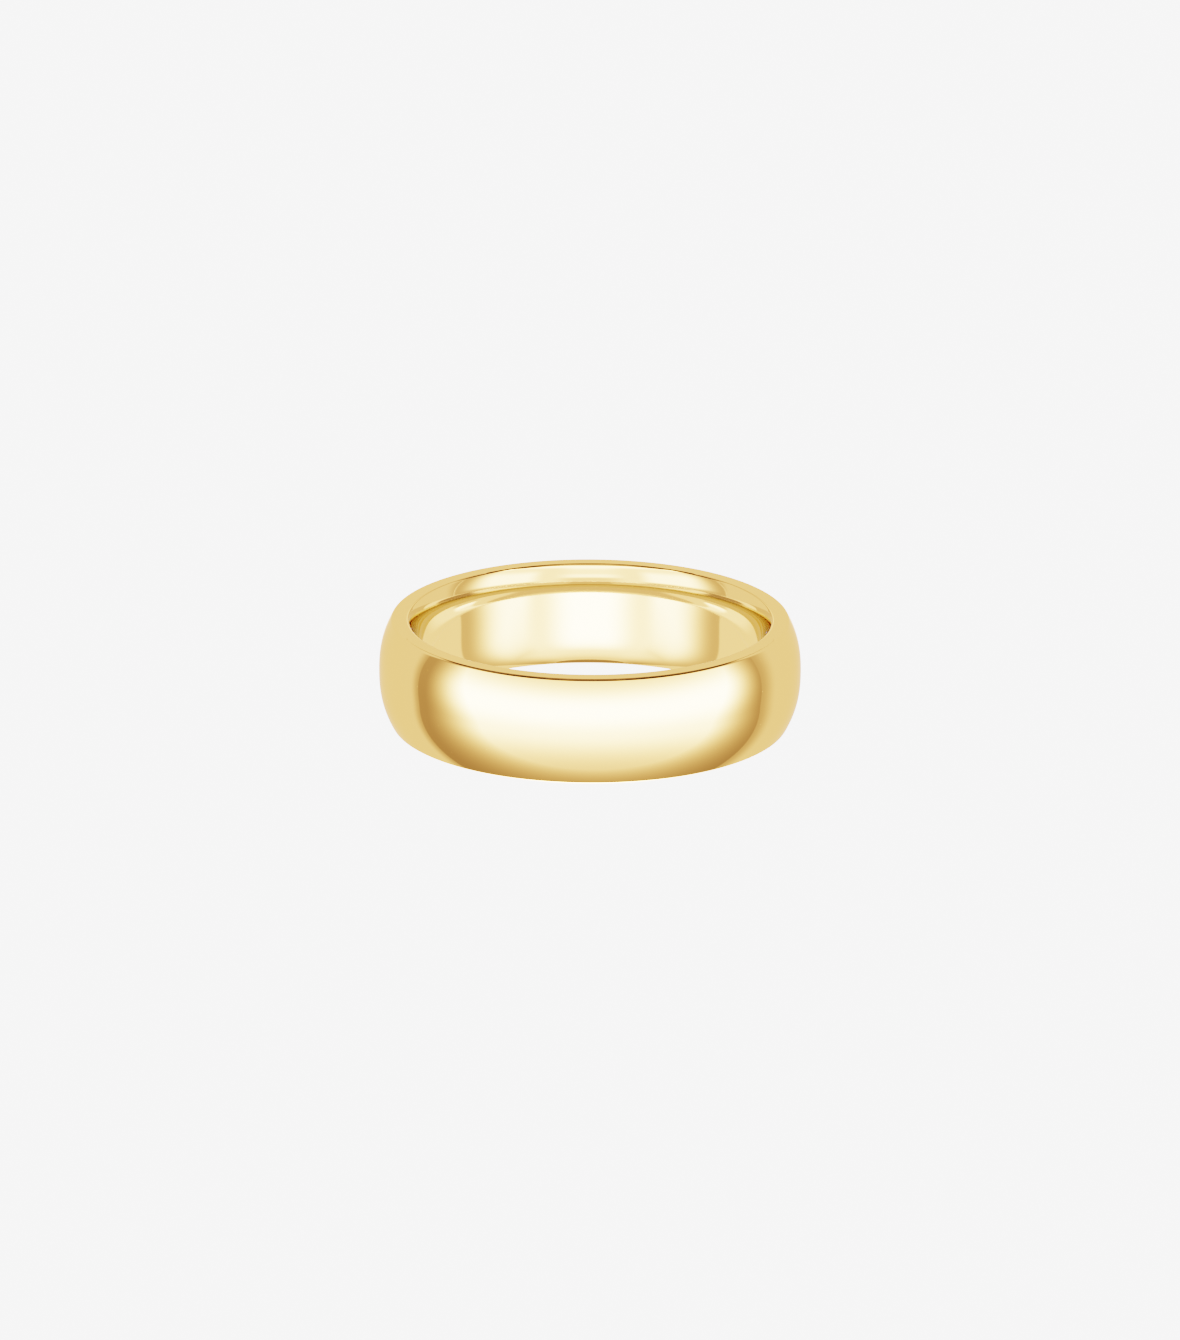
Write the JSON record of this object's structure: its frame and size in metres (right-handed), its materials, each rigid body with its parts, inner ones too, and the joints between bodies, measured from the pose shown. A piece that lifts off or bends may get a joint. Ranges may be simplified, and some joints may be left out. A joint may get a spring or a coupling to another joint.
{
  "type": "wedding band",
  "caption": "Plain half-round wedding band in polished yellow gold, with a domed outside, narrow flat sides and a rounded comfort-fit bore.",
  "frame": {"origin": "centre of the bore at mid-width", "axes": "+Z along the finger; the band is the same all the way round Z and the same above and below Z = 0"},
  "size_m": [0.0236, 0.0236, 0.006],
  "materials": {
    "polished_gold": "mirror-polished 14 carat yellow gold"
  },
  "bodies": {
    "root": {"band": "polished_gold"}
  },
  "joints": []
}
